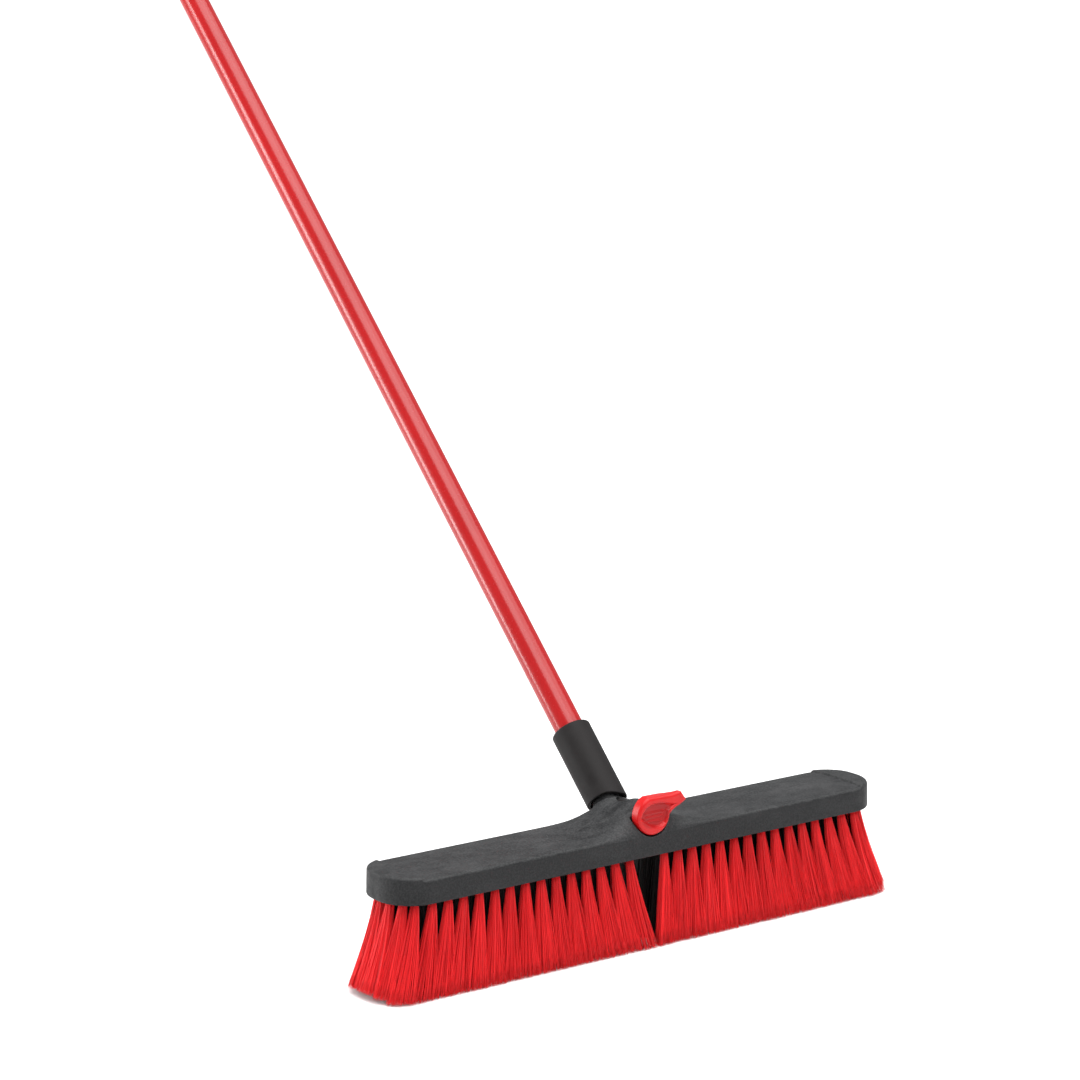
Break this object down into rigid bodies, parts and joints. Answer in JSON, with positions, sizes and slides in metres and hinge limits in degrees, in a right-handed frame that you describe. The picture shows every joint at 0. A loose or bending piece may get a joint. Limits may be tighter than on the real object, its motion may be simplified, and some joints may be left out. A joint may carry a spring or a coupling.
{
  "type": "push broom",
  "caption": "Push broom: a long block with splayed bristle rows and a slanted tube handle that a lever locks in the block.",
  "frame": {"origin": "on the handle's axis where the upper hand holds it, 1 m above the plane of the bristle tips and 0.9265 m behind the middle of the block", "axes": "X runs along the block, with the lever's tab on the +X side; the lever is on the block's -Y side, the front; the handle leans back at 45 degrees over +Y; -Z faces the floor that is swept"},
  "size_m": [0.492, 1.1433, 1.1821],
  "materials": {
    "block_grey": "matte",
    "bristle_red": "satin",
    "bristle_black": "satin",
    "lever_red": "satin",
    "shaft_black": "satin",
    "connector_black": "matte",
    "tube_red": "gloss",
    "cap_black": "matte",
    "steel": "satin"
  },
  "bodies": {
    "head": {"brush_block": "block_grey", "outer_bristles_front_left": "bristle_red", "outer_bristles_front_right": "bristle_red", "outer_bristles_rear_left": "bristle_red", "outer_bristles_rear_right": "bristle_red", "outer_bristles_end_left": "bristle_red", "outer_bristles_end_right": "bristle_red", "inner_bristles_front_left": "bristle_black", "inner_bristles_front_right": "bristle_black", "inner_bristles_middle_left": "bristle_black", "inner_bristles_middle_right": "bristle_black", "inner_bristles_rear_left": "bristle_black", "inner_bristles_rear_right": "bristle_black", "lever_washer": "steel", "shaft_retaining_pin": "steel"},
    "lever": {"lock_lever": "lever_red", "lever_shaft": "shaft_black"},
    "handle": {"handle_tube": "tube_red", "connector_sleeve": "connector_black", "connector_plug": "connector_black", "connector_pin": "steel", "hang_cap": "cap_black"}
  },
  "joints": [
    {"name": "lock_lever_turn", "type": "hinge", "parent": "head", "child": "lever", "pos_m": [0, -0.9535, -0.8983], "axis": [0, -1, 0], "range_deg": [0, 130]},
    {"name": "handle_slide", "type": "slide", "parent": "head", "child": "handle", "axis": [0, 0.7071, 0.7071], "range_m": [0, 0.06]}
  ]
}
